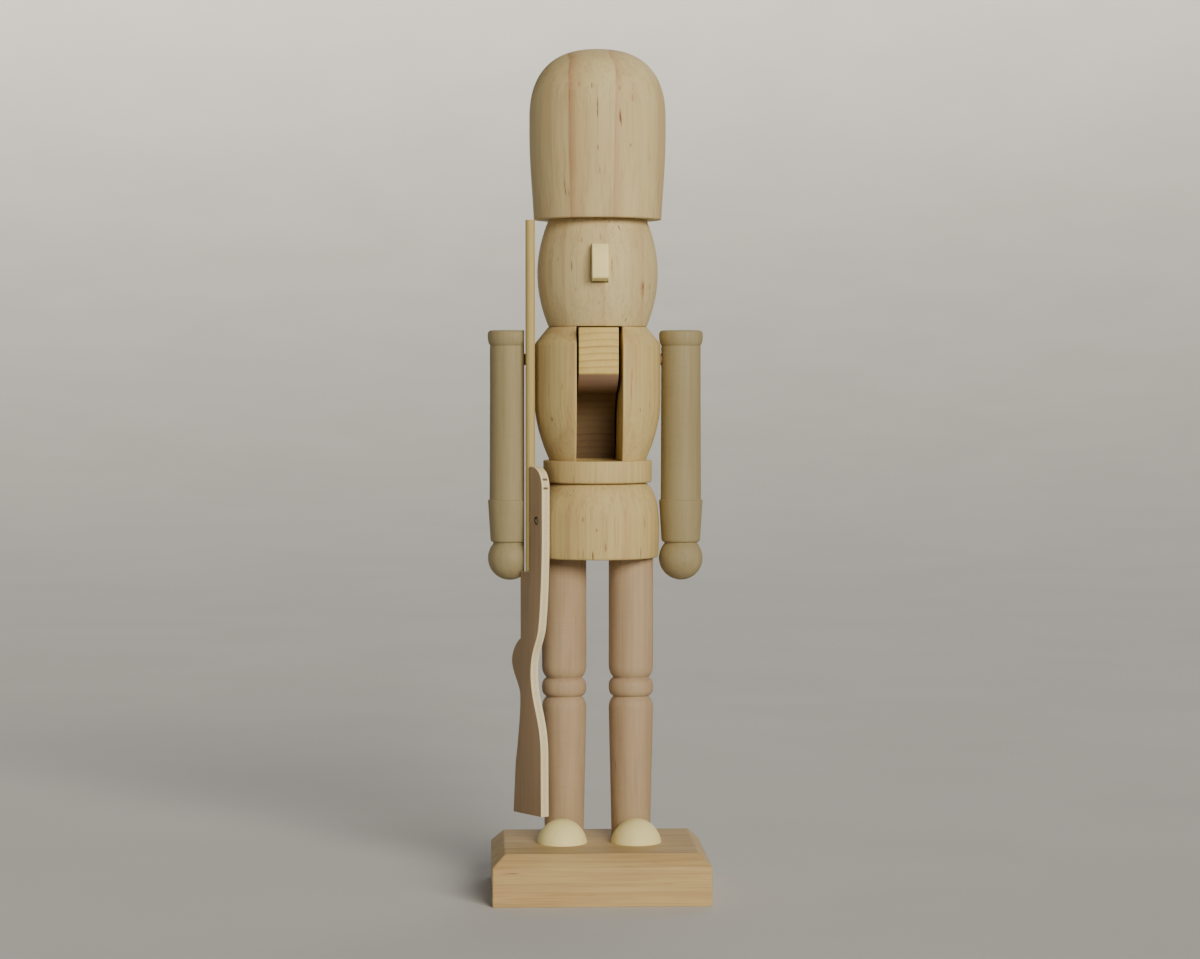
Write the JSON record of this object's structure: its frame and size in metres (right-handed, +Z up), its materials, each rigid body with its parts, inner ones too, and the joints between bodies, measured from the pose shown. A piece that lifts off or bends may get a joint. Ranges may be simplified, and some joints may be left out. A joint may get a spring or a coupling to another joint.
{
  "type": "unpainted wooden nutcracker figure",
  "caption": "Unpainted wooden soldier nutcracker with a tall busby hat, a rifle at its side and a pivoting jaw lever in the slotted trunk, standing on a bevelled base.",
  "frame": {"origin": "centre of the underside of the base", "axes": "+Z up, -Y towards the front of the figure, +X towards the viewer's right"},
  "size_m": [0.0645, 0.0595, 0.25],
  "materials": {
    "base_wood": "unfinished planed pine, grain along the width",
    "leg_wood": "unfinished turned beech, fine flecks",
    "toe_wood": "unfinished sanded birch",
    "body_wood": "unfinished turned pine, soft pinkish latewood",
    "lever_wood": "unfinished sawn pine, strong ring lines",
    "arm_wood": "unfinished turned birch, smooth",
    "stock_ply": "unfinished thin plywood, pale edge",
    "barrel_wood": "unfinished straight-grained dowel",
    "dowel_wood": "plain dowel",
    "brad_steel": "dull steel"
  },
  "bodies": {
    "figure": {"base": "base_wood", "leg_left": "leg_wood", "leg_right": "leg_wood", "toe_left": "toe_wood", "toe_right": "toe_wood", "ankle_dowel_left": "dowel_wood", "ankle_dowel_right": "dowel_wood", "hip_dowel_left": "dowel_wood", "hip_dowel_right": "dowel_wood", "neck_dowel_left": "dowel_wood", "neck_dowel_right": "dowel_wood", "trunk": "body_wood", "head": "body_wood", "nose": "body_wood", "hat_dowel": "dowel_wood", "hat": "body_wood", "pivot_pin": "dowel_wood", "arm_left": "arm_wood", "arm_right": "arm_wood", "shoulder_peg_left": "dowel_wood", "shoulder_peg_right": "dowel_wood", "rifle_stock": "stock_ply", "rifle_barrel": "barrel_wood", "rifle_brad": "brad_steel"},
    "jaw": {"jaw_lever": "lever_wood"}
  },
  "joints": [
    {"name": "jaw_hinge", "type": "hinge", "parent": "figure", "child": "jaw", "pos_m": [0, 0.0135, 0.15], "axis": [1, 0, 0], "range_deg": [0, 60]}
  ]
}
